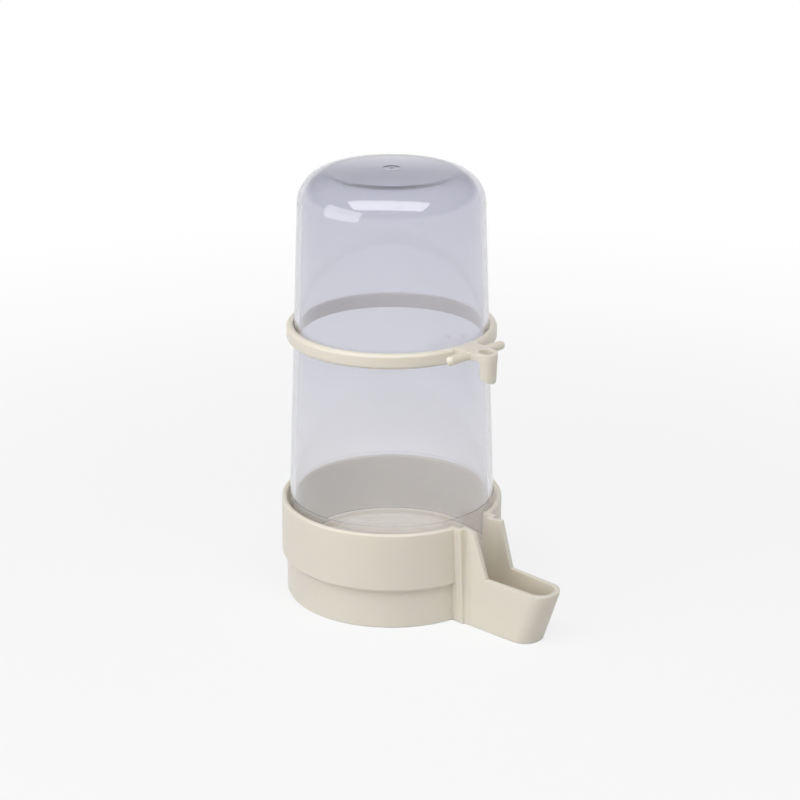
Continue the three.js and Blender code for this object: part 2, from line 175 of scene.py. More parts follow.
class ReservoirSizes(bpy.types.PropertyGroup):
    """Sizes of the clear reservoir."""
    mouth: length("Mouth", "Height of the mouth", BOTTLE_LOW.z)
    top: length("Top", "Height of the crown at its middle", BOTTLE_HIGH.z)
    wall: length("Wall", "Thickness of the wall", 1.5 * MM)
    taper: turn("Taper", "Lean of the wall towards the top", 2.1)
    shoulder: length("Shoulder", "Outside radius of the shoulder", 9.4 * MM)
    crown: length("Crown", "Radius of the slightly domed top", 250 * MM)
    collar_radius: length(
        "Collar radius", "Radius of the straight band in the cup", BOTTLE_HIGH.y - COLLAR_SLACK)
    collar_proud: length("Collar proud", "How far that band stands above the cup's rim", 1.6 * MM)
    collar_step: length("Collar step", "From that band in to the tapered wall", 0.15 * MM)
    collar_round: length("Collar round", "Rounding of that band's upper edge", 0.1 * MM)
    edge_round: length("Edge round", "Rounding of the mouth", 0.1 * MM)
    gate_radius: length("Gate radius", "Radius of the dimple left by the moulding gate", 2.5 * MM)
    gate_depth: length("Gate depth", "Depth of that dimple", 0.1 * MM)
    gate_round: length("Gate round", "Rounding of that dimple", 0.04 * MM)
    nub_radius: length("Nub radius", "Radius of the gate's stub", 0.7 * MM)
    nub_height: length("Nub height", "Height of the gate's stub", 0.1 * MM)


class HangerSizes(bpy.types.PropertyGroup):
    """Sizes of the hanger ring and its hook."""
    top: length("Top", "Height of the ring's upper edge", RING_HIGH.z)
    height: length("Height", "Height of the band", 4.4 * MM)
    wall: length("Wall", "Thickness of the band at its lower edge", 1.8 * MM)
    clearance: length("Clearance", "Gap between the band and the reservoir", 0.3 * MM)
    band_round: length("Band round", "Rounding of the band's outer edges", 1.1 * MM)
    hook_turn: turn("Hook turn", "Turn of the hook about the axis", -3.0)
    tab_thickness: length("Tab thickness", "Thickness of the tab", 2.2 * MM)
    tab_half: length("Tab half width", "Half the tab's width", 3.8 * MM)
    prong_standoff: length("Prong standoff", "From the band to the prongs' line", 3.5 * MM)
    prong_diameter: length("Prong diameter", "Thickness of the prongs", 2.6 * MM)
    prong_span: length("Prong span", "Length over both prongs", 22.0 * MM)
    prong_round: length("Prong round", "Rounding of the prongs' ends", 1.1 * MM)
    loop_spacing: length("Loop spacing", "From the prongs' line to the loop's middle", 4.3 * MM)
    loop_radius: length("Loop radius", "Outside radius round the hole", 3.0 * MM)
    hole_radius: length("Hole radius", "Radius of the hole's round ends", 1.75 * MM)
    hole_run: length("Hole run", "From the middle of one of those ends to the other's", 0.7 * MM)
    lip_drop: length(
        "Lip drop", "From the tab's top to the lip's lowest point", RING_HIGH.z - RING_LOW.z)
    lip_end_radius: length("Lip end radius", "Outside radius at the lip's lowest point", 2.7 * MM)
    lip_slant: bpy.props.FloatProperty(
        name="Lip slant", description="Rise of the lip's lower edge towards the ring, per length",
        default=0.6)
    rim_round: length("Rim round", "Rounding along the top of the hook's outline", 0.75 * MM)
    edge_round: length("Edge round", "Rounding of the hook's other edges", 0.35 * MM)
    root_fillet: length("Root fillet", "Fillet where the tab meets the band", 1.4 * MM)


class FinishColours(bpy.types.PropertyGroup):
    """Colours of the two plastics and the stage."""
    ivory: colour("Ivory", "Ivory polystyrene", "#E3DCCF")
    ivory_flow: colour("Ivory flow", "Ivory polystyrene where the melt flowed last", "#DED7C8")
    # painted shade: part of this grey is the plastic's own, and part stands in for a greyer backdrop
    # seen through the wall
    clear: colour("Clear", "Tint of the clear polystyrene, for one wall, near the top", "#DFDFE8")
    # painted light: the tint near the mouth is paler, to offset the shaded floor seen through the lower
    # wall
    clear_mouth_painted_light: colour("Clear mouth", "That tint near the mouth", "#FBFBFC")
    clear_depth: colour("Clear depth", "Colour that thick clear polystyrene takes", "#8C8C9E")
    clear_density: bpy.props.FloatProperty(
        name="Clear density", description="How fast clear polystyrene takes that colour, per metre",
        default=34.0, min=0.0)
    paper: colour("Paper", "White studio floor", "#DADADA")
    room: colour("Room", "Grey room round the stage", "#909194")


class StageSizes(bpy.types.PropertyGroup):
    """Camera and lamps, as seen from the fountain."""
    look_height: length("Look height", "Height on the axis that the camera looks at", 65 * MM)
    distance: length("Distance", "From there to the camera", 642.4 * MM)
    azimuth: turn("Azimuth", "Turn of the camera from the -Y axis", 43.37)
    elevation: turn("Elevation", "Height of the camera over the horizon", 19.46)
    lens: bpy.props.FloatProperty(
        name="Lens", description="Focal length", default=99.46, unit="CAMERA")
    sensor: bpy.props.FloatProperty(
        name="Sensor", description="Width of the camera's sensor", default=36.0, unit="CAMERA")
    shift_x: bpy.props.FloatProperty(
        name="Shift across", description="Camera shift across, as a share of the picture",
        default=0.0105)
    shift_y: bpy.props.FloatProperty(
        name="Shift up", description="Camera shift up, as a share of the picture", default=-0.0263)
    floor_half: length("Floor half", "Half the floor's side", 4.0)
    floor_white: bpy.props.FloatProperty(
        name="Floor white", description="Share of plain white in the floor, which softens the shadow",
        default=0.8, min=0.0, max=1.0, subtype="FACTOR")
    fade_start: length("Fade start", "Where the floor starts to fade into the white background", 0.10)
    fade_end: length("Fade end", "Where the floor is the white background", 0.45)
    canopy_radius: length("Canopy radius", "Radius of the canopy that the clear plastic mirrors", 2.0)
    canopy_low: length("Canopy low", "Height of the canopy's lower edge", 0.25)
    canopy_fade: length("Canopy fade", "Height where the canopy has faded from white to grey", 0.8)


# Meshes

def draw_outline(bm, corners, place, closed):
    """Draws a wire through corners of (across, along, rounding), each rounded to its own radius."""
    points = [place(across, along) for across, along, _ in corners]
    verts = [bm.verts.new(point) for point in points]
    count = len(verts)
    for i in range(count if closed else count - 1):
        bm.edges.new((verts[i], verts[(i + 1) % count]))
    for i, (_, _, rounding) in enumerate(corners):
        if rounding > 0.0:
            back = points[i - 1] - points[i]
            ahead = points[(i + 1) % count] - points[i]
            half_angle = back.angle(ahead) / 2
            sides = round((math.pi - 2 * half_angle) * rounding / ARC_STEP)
            bmesh.ops.bevel(
                bm, geom=[verts[i]], offset=rounding / math.tan(half_angle), affect="VERTICES",
                segments=max(ARC_SIDES[0], min(ARC_SIDES[1], sides)), profile=0.5, material=-1)


def upright(radius, height):
    """A point of a section that is spun about the axis."""
    return Vector((radius, 0.0, height))


def close_up(bm):
    """Merges doubled points and turns every face outwards."""
    bmesh.ops.remove_doubles(bm, verts=bm.verts[:], dist=SAME_POINT)
    bmesh.ops.dissolve_degenerate(bm, edges=bm.edges[:], dist=SAME_POINT)
    bmesh.ops.recalc_face_normals(bm, faces=bm.faces[:])
    return bm


def turned(corners, closed=False):
    """Spins a section about the axis. A section that isn't closed starts and ends on the axis."""
    bm = bmesh.new()
    draw_outline(bm, corners, upright, closed)
    bmesh.ops.spin(
        bm, geom=bm.verts[:] + bm.edges[:], cent=(0, 0, 0), axis=(0, 0, 1), dvec=(0, 0, 0),
        angle=2 * math.pi, steps=SPIN_STEPS, use_merge=True)
    return close_up(bm)


def slab(corners, place, steps):
    """Fills an outline and extrudes it by each of the given steps in turn."""
    bm = bmesh.new()
    draw_outline(bm, corners, place, True)
    bmesh.ops.contextual_create(bm, geom=bm.edges[:])
    faces = bm.faces[:]
    for i, step in enumerate(steps):
        grown = bmesh.ops.extrude_face_region(bm, geom=faces)["geom"]
        if i > 0:
            bmesh.ops.delete(bm, geom=faces, context="FACES_ONLY")
        verts = [item for item in grown if isinstance(item, bmesh.types.BMVert)]
        faces = [item for item in grown if isinstance(item, bmesh.types.BMFace)]
        bmesh.ops.translate(bm, verts=verts, vec=step)
    return close_up(bm)


def block(start, end, low_half, high_half, bottom, top):
    """A block along X whose sides draw in towards its bottom."""
    bm = bmesh.new()
    bmesh.ops.create_cube(bm, size=2.0)
    for vert in bm.verts:
        across = math.copysign(high_half if vert.co.z > 0 else low_half, vert.co.y)
        vert.co = (end if vert.co.x > 0 else start, across, top if vert.co.z > 0 else bottom)
    return bm


def round_edges(bm, edges, radius, segments=3):
    """Rounds edges with a bevel."""
    bmesh.ops.bevel(
        bm, geom=edges, offset=radius, offset_type="OFFSET", affect="EDGES", segments=segments,
        profile=0.5, material=-1, clamp_overlap=True)
    return bm


def outer_edges(bm):
    """The edges that stand out and turn sharply."""
    return [e for e in bm.edges if e.is_manifold and e.is_convex and e.calc_face_angle() > CONVEX_ANGLE]


def solid(bm, name):
    """Makes an object of a bmesh."""
    mesh = bpy.data.meshes.new(name)
    bm.to_mesh(mesh)
    bm.free()
    obj = bpy.data.objects.new(name, mesh)
    bpy.context.scene.collection.objects.link(obj)
    return obj


def combine(obj, tool, operation):
    """Joins a tool to an object or cuts it away, and removes the tool."""
    modifier = obj.modifiers.new("combine", "BOOLEAN")
    modifier.operation = operation
    modifier.solver = "MANIFOLD"
    modifier.object = tool
    result = bpy.data.meshes.new_from_object(obj.evaluated_get(bpy.context.evaluated_depsgraph_get()))
    obj.modifiers.clear()
    old = obj.data
    obj.data = result
    bpy.data.meshes.remove(old)
    spent = tool.data
    bpy.data.objects.remove(tool)
    bpy.data.meshes.remove(spent)
    return obj


def reshape(obj, change):
    """Lets a function change an object's bmesh."""
    bm = bmesh.new()
    bm.from_mesh(obj.data)
    close_up(bm)
    change(bm)
    bm.to_mesh(obj.data)
    bm.free()
    return obj


def finish_piece(obj, name, body, node, material):
    """Moves a piece from the axis to its place, shades it, gives it its material, hangs it under its
    body and hides the frame's part that it stands in for.
    """
    def place(bm):
        bmesh.ops.translate(bm, verts=bm.verts[:], vec=AXIS)
    reshape(obj, place)
    obj.name = name
    obj.data.name = name
    obj.data.shade_smooth()
    obj.data.set_sharp_from_angle(angle=SHARP_ANGLE)
    weighted = obj.modifiers.new("weighted normals", "WEIGHTED_NORMAL")
    weighted.keep_sharp = True
    obj.data.materials.clear()
    obj.data.materials.append(material)
    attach(obj, body)
    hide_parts(node)
    return obj


# Materials

def add_node(tree, kind, settings=None, inputs=None):
    """Adds a node with its settings; an input is a socket to link or a value to set."""
    node = tree.nodes.new(kind)
    for key, value in (settings or {}).items():
        setattr(node, key, value)
    for key, value in (inputs or {}).items():
        if isinstance(value, bpy.types.NodeSocket):
            tree.links.new(value, node.inputs[key])
        else:
            node.inputs[key].default_value = value
    return node


def new_material(name):
    """An empty material with its output."""
    material = bpy.data.materials.new(name)
    material.use_nodes = True
    tree = material.node_tree
    tree.nodes.clear()
    return material, tree, tree.nodes.new("ShaderNodeOutputMaterial")


def per_length(millimetres):
    """Scale of a pattern whose marks are this wide."""
    return 1.0 / (millimetres * MM)


def ivory_polystyrene(colours):
    """Moulded ivory polystyrene.

    A high-impact grade: opaque, with a satin gloss from a polished and lightly blasted mould.
    The eye gets soft broad highlights, a faint cloudiness where the melt flowed, and a fine
    even grain that only shows where light grazes the surface.
    """
    material, tree, output = new_material("moulded_ivory_polystyrene")
    where = add_node(tree, "ShaderNodeTexCoord").outputs["Object"]
    clouds = add_node(tree, "ShaderNodeTexNoise", inputs={
        "Vector": where, "Scale": per_length(CLOUD_WIDTH), "Detail": 3.0, "Roughness": 0.55,
        "Distortion": 0.6})
    grain = add_node(tree, "ShaderNodeTexNoise", inputs={
        "Vector": where, "Scale": per_length(GRAIN_WIDTH), "Detail": 2.0, "Roughness": 0.5})
    shade = add_node(tree, "ShaderNodeMix", {"data_type": "RGBA"}, {
        "Factor": clouds.outputs["Fac"], "A": (*colours.ivory, 1.0), "B": (*colours.ivory_flow, 1.0)})
    gloss = add_node(tree, "ShaderNodeMapRange", inputs={
        "Value": clouds.outputs["Fac"], "From Min": 0.3, "From Max": 0.7,
        "To Min": 0.28, "To Max": 0.36})
    relief = add_node(tree, "ShaderNodeBump", inputs={
        "Strength": 0.12, "Distance": 0.02 * MM, "Height": grain.outputs["Fac"]})
    surface = add_node(tree, "ShaderNodeBsdfPrincipled", inputs={
        "Base Color": shade.outputs["Result"], "Roughness": gloss.outputs["Result"], "IOR": 1.59,
        "Subsurface Weight": 0.4, "Subsurface Radius": (1.0, 0.8, 0.55), "Subsurface Scale": 3.0 * MM,
        "Normal": relief.outputs["Normal"]})
    tree.links.new(surface.outputs["BSDF"], output.inputs["Surface"])
    return material


def clear_polystyrene(colours):
    """Moulded clear polystyrene.

    A general-purpose grade: glass clear with a high index, so edges and the shoulder catch bright
    lines. The faint cool grey in the wall is partly the plastic's own and partly painted shade that
    stands in for a greyer backdrop seen through it, and the tint is painted paler towards the mouth,
    where the shaded floor shows through. The eye gets sharp reflections that waver a little
    along the flow of the melt, a few hazy rubs from handling, and a slight milky haze all over.
    """
    material, tree, output = new_material("moulded_clear_polystyrene")
    where = add_node(tree, "ShaderNodeTexCoord").outputs["Object"]
    along = add_node(tree, "ShaderNodeMapping", inputs={"Vector": where, "Scale": (1.0, 1.0, 0.12)})
    flow = add_node(tree, "ShaderNodeTexNoise", inputs={
        "Vector": along.outputs["Vector"], "Scale": per_length(FLOW_WIDTH), "Detail": 2.0,
        "Roughness": 0.5})
    rubs = add_node(tree, "ShaderNodeTexNoise", inputs={
        "Vector": where, "Scale": per_length(RUB_WIDTH), "Detail": 5.0, "Roughness": 0.65,
        "Distortion": 1.2})
    gloss = add_node(tree, "ShaderNodeMapRange", inputs={
        "Value": rubs.outputs["Fac"], "From Min": 0.45, "From Max": 0.75,
        "To Min": 0.015, "To Max": 0.05})
    relief = add_node(tree, "ShaderNodeBump", inputs={
        "Strength": 0.05, "Distance": 0.05 * MM, "Height": flow.outputs["Fac"]})
    # painted light and shade: the wall's tint runs from the greyer top down to the paler mouth, which
    # offsets the shaded floor seen through
    height = add_node(tree, "ShaderNodeSeparateXYZ", inputs={"Vector": where}).outputs["Z"]
    share = add_node(tree, "ShaderNodeMapRange", inputs={
        "Value": height, "From Min": BOTTLE_LOW.z, "From Max": BOTTLE_HIGH.z})
    tint = add_node(tree, "ShaderNodeMix", {"data_type": "RGBA"}, {
        "Factor": share.outputs["Result"], "A": (*colours.clear_mouth_painted_light, 1.0), "B": (*colours.clear, 1.0)})
    surface = add_node(tree, "ShaderNodeBsdfPrincipled", inputs={
        "Base Color": tint.outputs["Result"], "Roughness": gloss.outputs["Result"], "IOR": 1.59,
        "Transmission Weight": 0.94, "Normal": relief.outputs["Normal"]})
    # The lamps' light passes straight through, so that what stands inside isn't left dark
    passing = add_node(tree, "ShaderNodeBsdfTransparent")
    path = add_node(tree, "ShaderNodeLightPath")
    mix = add_node(tree, "ShaderNodeMixShader", inputs={
        "Fac": path.outputs["Is Shadow Ray"], 1: surface.outputs["BSDF"], 2: passing.outputs["BSDF"]})
    depth = add_node(tree, "ShaderNodeVolumeAbsorption", inputs={
        "Color": (*colours.clear_depth, 1.0), "Density": colours.clear_density})
    tree.links.new(mix.outputs["Shader"], output.inputs["Surface"])
    tree.links.new(depth.outputs["Volume"], output.inputs["Volume"])
    return material


def background_rays(tree):
    """1 for the rays that show the background: seen straight, mirrored or through clear plastic."""
    path = add_node(tree, "ShaderNodeLightPath")
    mirrored = add_node(tree, "ShaderNodeMath", {"operation": "ADD", "use_clamp": True}, {
        0: path.outputs["Is Camera Ray"], 1: path.outputs["Is Glossy Ray"]})
    return add_node(tree, "ShaderNodeMath", {"operation": "ADD", "use_clamp": True}, {
        0: mirrored.outputs["Value"], 1: path.outputs["Is Transmission Ray"]}).outputs["Value"]


def white_paper(colours, sizes):
    """Matt white background paper: it takes the shadow, and further out it is the white background."""
    material, tree, output = new_material("matt_white_paper")
    where = add_node(tree, "ShaderNodeTexCoord").outputs["Object"]
    away = add_node(tree, "ShaderNodeVectorMath", {"operation": "LENGTH"}, {"Vector": where})
    fade = add_node(tree, "ShaderNodeMapRange", {"interpolation_type": "SMOOTHSTEP"}, {
        "Value": away.outputs["Value"], "From Min": sizes.fade_start, "From Max": sizes.fade_end,
        "To Min": sizes.floor_white})
    fibre = add_node(tree, "ShaderNodeTexNoise", inputs={
        "Vector": where, "Scale": per_length(FIBRE_WIDTH), "Detail": 2.0})
    relief = add_node(tree, "ShaderNodeBump", inputs={
        "Strength": 0.05, "Distance": 0.02 * MM, "Height": fibre.outputs["Fac"]})
    matt = add_node(tree, "ShaderNodeBsdfDiffuse", inputs={
        "Color": (*colours.paper, 1.0), "Normal": relief.outputs["Normal"]})
    white = add_node(tree, "ShaderNodeEmission", inputs={"Color": (1.0, 1.0, 1.0, 1.0), "Strength": 1.0})
    share = add_node(tree, "ShaderNodeMath", {"operation": "MULTIPLY"}, {
        0: fade.outputs["Result"], 1: background_rays(tree)})
    mix = add_node(tree, "ShaderNodeMixShader", inputs={
        "Fac": share.outputs["Value"], 1: matt.outputs["BSDF"], 2: white.outputs["Emission"]})
    tree.links.new(mix.outputs["Shader"], output.inputs["Surface"])
    return material


def grey_cloth(colours, sizes):
    """Grey canopy cloth, lit from behind.

    Where it is mirrored, it pales to white towards its lower edge.
    """
    material, tree, output = new_material("grey_canopy_cloth")
    where = add_node(tree, "ShaderNodeTexCoord").outputs["Object"]
    height = add_node(tree, "ShaderNodeSeparateXYZ", inputs={"Vector": where}).outputs["Z"]
    fade = add_node(tree, "ShaderNodeMapRange", {"interpolation_type": "SMOOTHSTEP"}, {
        "Value": height, "From Min": sizes.canopy_low, "From Max": sizes.canopy_fade,
        "To Min": 1.0, "To Max": 0.0})
    share = add_node(tree, "ShaderNodeMath", {"operation": "MULTIPLY"}, {
        0: fade.outputs["Result"], 1: background_rays(tree)})
    tone = add_node(tree, "ShaderNodeMix", {"data_type": "RGBA"}, {
        "Factor": share.outputs["Value"], "A": (*colours.room, 1.0), "B": (1.0, 1.0, 1.0, 1.0)})
    glow = add_node(tree, "ShaderNodeEmission", inputs={
        "Color": tone.outputs["Result"], "Strength": 1.0})
    tree.links.new(glow.outputs["Emission"], output.inputs["Surface"])
    return material


def studio_world(colours):
    """A white background, and a grey room that lights the fountain from all round."""
    world = bpy.data.worlds.new("studio")
    world.use_nodes = True
    tree = world.node_tree
    tree.nodes.clear()
    room = add_node(tree, "ShaderNodeBackground", inputs={
        "Color": (*colours.room, 1.0), "Strength": 1.0})
    white = add_node(tree, "ShaderNodeBackground", inputs={
        "Color": (1.0, 1.0, 1.0, 1.0), "Strength": 1.0})
    mix = add_node(tree, "ShaderNodeMixShader", inputs={
        "Fac": background_rays(tree), 1: room.outputs["Background"], 2: white.outputs["Background"]})
    add_node(tree, "ShaderNodeOutputWorld", inputs={"Surface": mix.outputs["Shader"]})
    return world


# Base cup

def floor_ridges(cup, ledge_radius):
    """Corners of the floor's concentric ridges, from the outside in."""
    corners = []
    for i in range(cup.ridge_count):
        middle = ledge_radius - cup.ridge_inset - i * cup.ridge_spacing
        for offset, rise in ((0.5, 0.0), (0.0, 1.0), (-0.5, 0.0)):
            radius = middle + offset * cup.ridge_width
            height = cup.floor_height + rise * cup.ridge_height
            corners.append((radius, height, cup.ridge_round))
    return corners


def cup_inside(cup):
    """The bore's radius, and the radius and height of the ledge in it."""
    bore = cup.radius - cup.wall
    return bore, bore - cup.ledge_width, cup.floor_height + cup.ledge_rise


def cup_shell(cup):
    """The round cup with its stepped foot, ledge and ridged floor."""
    bore, ledge, ledge_height = cup_inside(cup)
    foot = cup.radius - cup.step_inset
    underside = cup.floor_height - cup.floor_thickness
    return turned([
        (0.0, underside, 0.0),
        (foot - cup.foot_wall, underside, cup.foot_round),
        (foot - cup.foot_wall, 0.0, cup.step_round),
        (foot, 0.0, cup.foot_round),
        (foot, cup.step_height - cup.step_drop, cup.step_round),
        (cup.radius, cup.step_height, cup.step_round),
        (cup.radius, cup.rim_height, cup.rim_round),
        (bore, cup.rim_height, cup.rim_round),
        (bore, ledge_height, cup.ledge_round),
        (ledge, ledge_height, cup.ledge_round),
        (ledge, cup.floor_height, cup.ledge_round),
        *floor_ridges(cup, ledge),
        (0.0, cup.floor_height, 0.0),
    ])


def cup_space(cup):
    """The space inside the cup, down to its ledge and floor."""
    bore, ledge, ledge_height = cup_inside(cup)
    return turned([
        (0.0, cup.floor_height, 0.0),
        (ledge, cup.floor_height, 0.0),
        (ledge, ledge_height, 0.0),
        (bore, ledge_height, 0.0),
        (bore, cup.rim_height + BEYOND, 0.0),
        (0.0, cup.rim_height + BEYOND, 0.0),
    ])


def well_start(cup, spout):
    """Where the channel starts under the reservoir, from the axis."""
    return cup.radius - cup.wall - spout.well_depth


def past_grooves(cup, spout):
    """Where the wire grooves end, from the axis."""
    return cup.radius + spout.neck_standoff + spout.groove_width


def neck_block(cup, spout, start, inset, bottom, top):
    """The neck between two heights, drawn in by an inset."""
    draft = (spout.neck_half - spout.neck_foot_half) / cup.rim_height
    low_half = spout.neck_foot_half + bottom * draft - inset
    high_half = spout.neck_foot_half + top * draft - inset
    end = cup.radius + spout.neck_standoff - inset
    return block(start, end, low_half, high_half, bottom, top)


def trough_block(cup, spout, start, inset, bottom, top):
    """The trough between two heights, drawn in by an inset.

    The flare fades out towards the bottom, and the rounded end leans in below its upright band.
    """
    neck_end = cup.radius + spout.neck_standoff - inset
    groove_end = past_grooves(cup, spout)
    flare = groove_end + spout.flare_length
    half = spout.groove_half - inset
    side = [
        (start, half + spout.groove_fillet, 0.0),
        (neck_end, half + spout.groove_fillet, 0.0),
        (neck_end, half, spout.groove_fillet),
        (groove_end, half, 0.0),
        (flare, spout.flare_half - inset, spout.flare_round),
        (spout.tip - inset, spout.end_half - inset, spout.end_round - inset),
    ]
    plan = [(x, -y, rounding) for x, y, rounding in side] + side[::-1]
    lean_top = spout.rim_height - spout.lip
    rises = [(0, 0, lean_top - bottom), (0, 0, top - lean_top)]
    bm = slab(plan, lambda x, y: Vector((x, y, bottom)), rises)
    slope = math.tan(spout.lean)
    fade = (spout.flare_half - spout.groove_half) / cup.rim_height
    end_start = spout.tip - 2 * spout.end_round
    for vert in bm.verts:
        x, y, z = vert.co
        swell = min((x - groove_end) / (flare - groove_end), (end_start - x) / (end_start - flare))
        if swell > 0.0:
            vert.co.y = y - math.copysign((cup.rim_height - z) * fade * swell, y)
        elif x > end_start and z < lean_top - SAME_POINT:
            vert.co.x = x - (lean_top - z) * slope
    return bm


def bottom_edges(bm, bottom, beyond):
    """The edges round the bottom of a block, past a distance along X."""
    def at_bottom(vert):
        return abs(vert.co.z - bottom) < SAME_POINT and vert.co.x > beyond
    return [e for e in bm.edges if all(map(at_bottom, e.verts)) and e.calc_face_angle() > CONVEX_ANGLE]


def above_trough(cup, spout):
    """Everything above the neck's sloping edges and the trough's rim."""
    slant_top = past_grooves(cup, spout) + spout.flare_length + spout.slant_start
    slant_foot = slant_top + spout.slant_run
    slope = spout.slant_run / (cup.rim_height - spout.rim_height)
    high = cup.rim_height + BEYOND
    far = spout.tip + BEYOND
    half = spout.neck_half + BEYOND
    side = [(slant_top - slope * BEYOND, high, 0.0), (slant_foot, spout.rim_height, 0.0),
            (far, spout.rim_height, 0.0), (far, high, 0.0)]
    return slab(side, lambda x, z: Vector((x, -half, z)), [(0, 2 * half, 0)])


def make_spout(cup, spout):
    """The neck and trough with their channel, rounded all over, cut to the cup's inside."""
    neck_end = cup.radius + spout.neck_standoff
    well = well_start(cup, spout)
    rim = cup.rim_height
    outer = trough_block(cup, spout, neck_end - spout.wall, 0.0, 0.0, rim)
    round_edges(outer, bottom_edges(outer, 0.0, neck_end), spout.heel_round, segments=4)
    inner = trough_block(cup, spout, neck_end - 2 * spout.wall, spout.wall, spout.floor, rim + BEYOND)
    round_edges(inner, bottom_edges(inner, spout.floor, neck_end), spout.inside_round, segments=4)
    channel = neck_block(cup, spout, well, spout.wall, spout.floor, rim + BEYOND)
    obj = solid(neck_block(cup, spout, well - spout.wall, 0.0, 0.0, rim), "spout")
    combine(obj, solid(outer, "trough"), "UNION")
    combine(obj, solid(channel, "channel"), "DIFFERENCE")
    combine(obj, solid(inner, "trough_inside"), "DIFFERENCE")
    combine(obj, solid(above_trough(cup, spout), "above"), "DIFFERENCE")

    def on_rim(face):
        return face.normal.z > FACING_UP and face.calc_center_median().z > spout.rim_height - SAME_POINT

    def soften(bm):
        on_rims = {e for f in filter(on_rim, bm.faces) for e in f.edges}
        round_edges(bm, [e for e in outer_edges(bm) if e in on_rims], spout.rim_round)
        edges = [e for e in outer_edges(bm) if e.calc_length() > spout.edge_round]
        round_edges(bm, edges, spout.edge_round)
    reshape(obj, soften)
    return combine(obj, solid(cup_space(cup), "cup_space"), "DIFFERENCE")


def make_base_cup(cup, spout):
    """The whole base: the cup, opened for the channel, and the spout."""
    obj = solid(cup_shell(cup), "cup")
    inset = spout.wall / 2
    start = well_start(cup, spout) - inset
    opening = neck_block(cup, spout, start, inset, spout.floor, cup.rim_height + BEYOND)
    combine(obj, solid(opening, "opening"), "DIFFERENCE")
    return combine(obj, make_spout(cup, spout), "UNION")


# Reservoir

def wall_radius(cup, bottle, height):
    """Radius of the reservoir's tapered outside at a height."""
    collar_top = cup.rim_height + bottle.collar_proud
    return bottle.collar_radius - bottle.collar_step - (height - collar_top) * math.tan(bottle.taper)


def crown_corners(bottle, inset, start, reach):
    """Corners along the domed top, from a radius near its middle out to the shoulder."""
    corners = []
    for i in range(CROWN_STEPS + 1):
        radius = start + (reach - start) * i / CROWN_STEPS
        corners.append((radius, bottle.top - inset - radius ** 2 / (2 * bottle.crown), 0.0))
    return corners


def make_reservoir(cup, bottle):
    """The clear reservoir as one wall, outside and in, with the mark of its moulding gate."""
    wall = bottle.wall
    collar_top = cup.rim_height + bottle.collar_proud
    reach = wall_radius(cup, bottle, bottle.top) - bottle.shoulder
    drop = reach ** 2 / (2 * bottle.crown) + bottle.shoulder * reach / bottle.crown
    corner_height = bottle.top - drop
    corner_radius = wall_radius(cup, bottle, corner_height)
    gate_floor = bottle.top - bottle.gate_depth
    gate_edge, *crown = crown_corners(bottle, 0.0, bottle.gate_radius, reach)
    return turned([
        (0.0, gate_floor + bottle.nub_height, 0.0),
        (bottle.nub_radius / 2, gate_floor + bottle.nub_height, bottle.nub_radius / 4),
        (bottle.nub_radius, gate_floor, bottle.nub_radius / 4),
        (bottle.gate_radius - bottle.gate_depth, gate_floor, bottle.gate_round),
        (*gate_edge[:2], bottle.gate_round),
        *crown,
        (corner_radius, corner_height, bottle.shoulder),
        (wall_radius(cup, bottle, collar_top), collar_top, 0.0),
        (bottle.collar_radius, collar_top, bottle.collar_round),
        (bottle.collar_radius, bottle.mouth, bottle.edge_round),
        (wall_radius(cup, bottle, bottle.mouth) - wall, bottle.mouth, bottle.edge_round),
        (corner_radius - wall, corner_height - wall, bottle.shoulder - wall),
        *crown_corners(bottle, wall, 0.0, reach)[::-1],
    ])


# Hanger ring

def ring_radius(cup, bottle, hanger):
    """Outside radius of the band."""
    bottom = hanger.top - hanger.height
    return wall_radius(cup, bottle, bottom) + hanger.clearance + hanger.wall


def ring_band(cup, bottle, hanger):
    """The plain band, tapered inside as the reservoir is."""
    bottom = hanger.top - hanger.height
    inner_low = wall_radius(cup, bottle, bottom) + hanger.clearance
    inner_high = wall_radius(cup, bottle, hanger.top) + hanger.clearance
    outer = ring_radius(cup, bottle, hanger)
    return turned([
        (inner_low, bottom, hanger.edge_round),
        (outer, bottom, hanger.band_round),
        (outer, hanger.top, hanger.band_round),
        (inner_high, hanger.top, hanger.edge_round),
    ], closed=True)


def hook_tab(hanger, outer, prongs, loop):
    """The flat tab, from inside the band out to the round end."""
    low = hanger.top - hanger.tab_thickness
    root_half = hanger.tab_half + hanger.root_fillet
    root = math.sqrt(outer ** 2 - root_half ** 2)
    side = [
        (root - hanger.wall / 2, root_half, 0.0),
        (root, root_half, 0.0),
        (root, hanger.tab_half, hanger.root_fillet),
        (prongs, hanger.tab_half, 0.0),
        (loop, hanger.loop_radius, 0.0),
        (loop + hanger.loop_radius, hanger.loop_radius, hanger.loop_radius * ROUND_END),
    ]
    plan = [(x, -y, rounding) for x, y, rounding in side] + side[::-1]
    return slab(plan, lambda x, y: Vector((x, y, low)), [(0, 0, hanger.tab_thickness)])


def hook_lip(hanger, loop):
    """The outer half of a slightly tapered tube round the hole, with a slanted lower edge."""
    bm = bmesh.new()
    middle = Matrix.Translation((loop, 0.0, hanger.top - hanger.lip_drop / 2))
    bmesh.ops.create_cone(
        bm, cap_ends=True, segments=LIP_SIDES, radius1=hanger.lip_end_radius,
        radius2=hanger.loop_radius, depth=hanger.lip_drop, matrix=middle)
    low = hanger.top - hanger.lip_drop
    slant = Vector((hanger.lip_slant, 0.0, 1.0)).normalized()
    cuts = (((loop, 0.0, 0.0), (-1.0, 0.0, 0.0)), ((loop + hanger.loop_radius, 0.0, low), -slant))
    for point, normal in cuts:
        bmesh.ops.bisect_plane(
            bm, geom=bm.verts[:] + bm.edges[:] + bm.faces[:], dist=SAME_POINT, plane_co=point,
            plane_no=normal, clear_outer=True)
        bmesh.ops.holes_fill(bm, edges=[e for e in bm.edges if e.is_boundary], sides=0)
    return close_up(bm)


